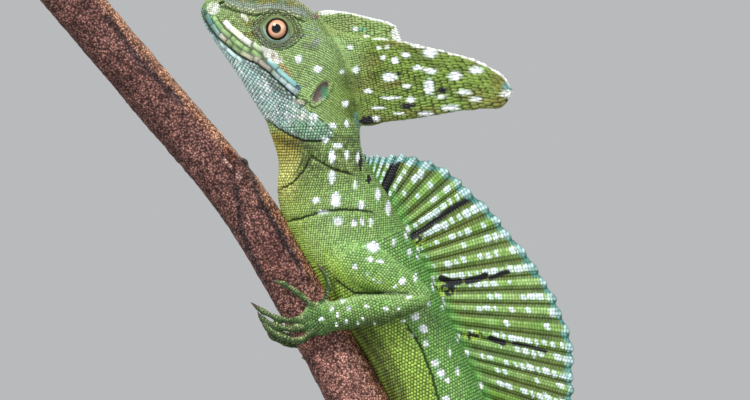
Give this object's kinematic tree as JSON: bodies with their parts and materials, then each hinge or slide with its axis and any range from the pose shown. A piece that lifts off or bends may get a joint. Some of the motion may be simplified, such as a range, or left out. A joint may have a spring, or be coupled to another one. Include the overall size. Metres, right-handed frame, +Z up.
{
  "type": "green basilisk lizard",
  "caption": "Crested green lizard clinging head-up to a short slanted stem, with a lobed head crest, pleated back sail, tail fin and long curled tail, held over a flat base by plain rods",
  "frame": {"origin": "middle of the stand's flat underside, on the floor", "axes": "+Z up, +X to the right of the animal's left side view, towards its tail fin, +Y away from the viewer of that side"},
  "size_m": [0.2532, 0.162, 0.5507],
  "materials": {
    "scaly_skin": "satin",
    "crest_skin": "satin",
    "eye": "gloss",
    "bark": "matte",
    "stand_wood": "satin",
    "stand_steel": "satin"
  },
  "bodies": {
    "root": {"head": "scaly_skin", "neck": "scaly_skin", "torso": "scaly_skin", "tail_1": "scaly_skin", "tail_2": "scaly_skin", "tail_3": "scaly_skin", "tail_4": "scaly_skin", "tail_5": "scaly_skin", "upper_arm_left": "scaly_skin", "forearm_left": "scaly_skin", "hand_left": "scaly_skin", "thigh_left": "scaly_skin", "shin_left": "scaly_skin", "foot_left": "scaly_skin", "upper_arm_right": "scaly_skin", "forearm_right": "scaly_skin", "hand_right": "scaly_skin", "thigh_right": "scaly_skin", "shin_right": "scaly_skin", "foot_right": "scaly_skin", "head_crest_front": "crest_skin", "head_crest_rear": "crest_skin", "dorsal_crest": "crest_skin", "tail_crest": "crest_skin", "eye_left": "eye", "eye_right": "eye", "perch": "bark", "stand_base": "stand_wood", "stand_rod_upper": "stand_steel", "stand_rod_lower": "stand_steel"}
  },
  "joints": []
}
